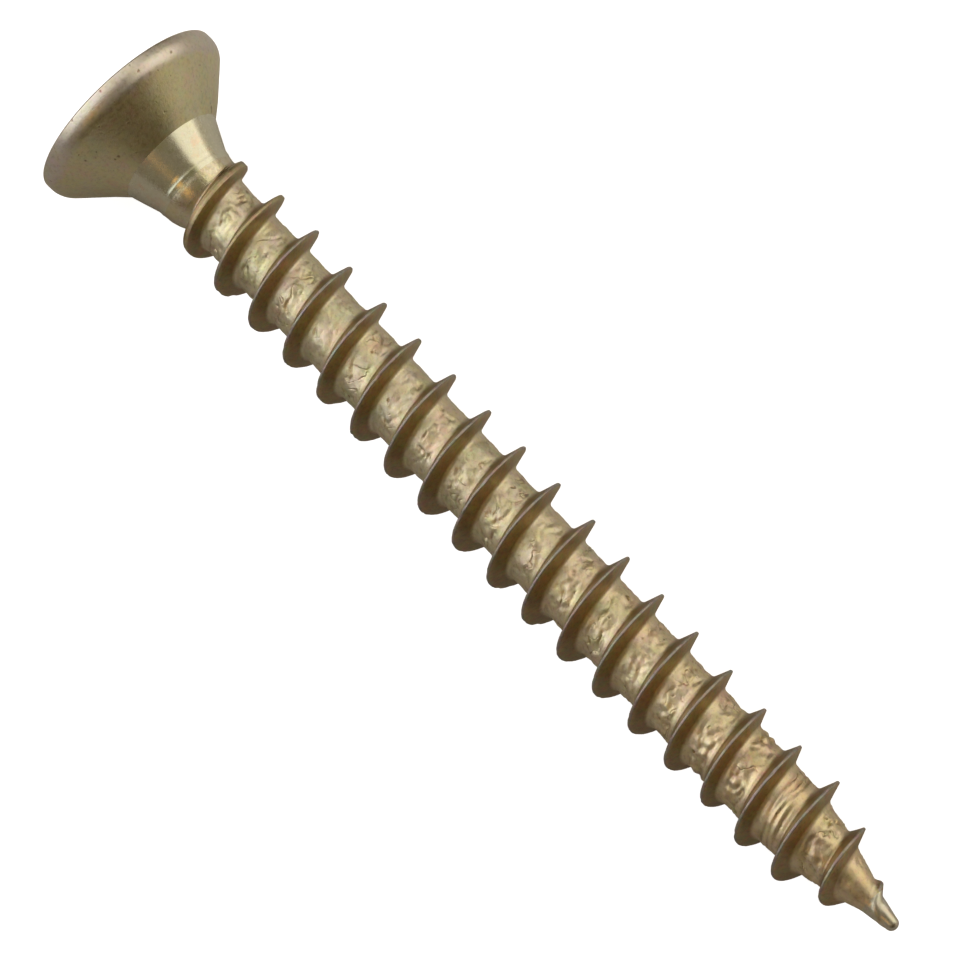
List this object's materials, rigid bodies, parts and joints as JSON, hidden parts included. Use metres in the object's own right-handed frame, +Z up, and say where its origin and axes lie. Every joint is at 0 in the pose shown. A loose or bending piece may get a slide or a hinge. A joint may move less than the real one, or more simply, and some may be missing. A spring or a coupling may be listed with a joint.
{
  "type": "countersunk wood screw",
  "caption": "Fully threaded countersunk wood screw with a cross recess, a short plain collar under the head and a slim gimlet-like point.",
  "frame": {"origin": "centre of the head's flat top, where the driver enters", "axes": "+X along the screw from the head to the tip; +Z up with the screw lying on its side; Y and Z lie along the wings of the cross recess"},
  "size_m": [0.04, 0.0078, 0.0078],
  "materials": {
    "plated_head": "satin yellow zinc",
    "plated_shank": "bright yellow zinc, hammered",
    "plated_thread": "bright yellow zinc",
    "worn_tip": "bright zinc, plating thin"
  },
  "bodies": {
    "root": {"countersunk_head": "plated_head", "neck": "plated_shank", "shank_collar": "plated_shank", "threaded_core": "plated_shank", "point": "plated_shank", "nib": "worn_tip", "thread_runout": "plated_thread", "thread": "plated_thread", "point_thread": "plated_thread", "tip_thread": "plated_thread"}
  },
  "joints": []
}
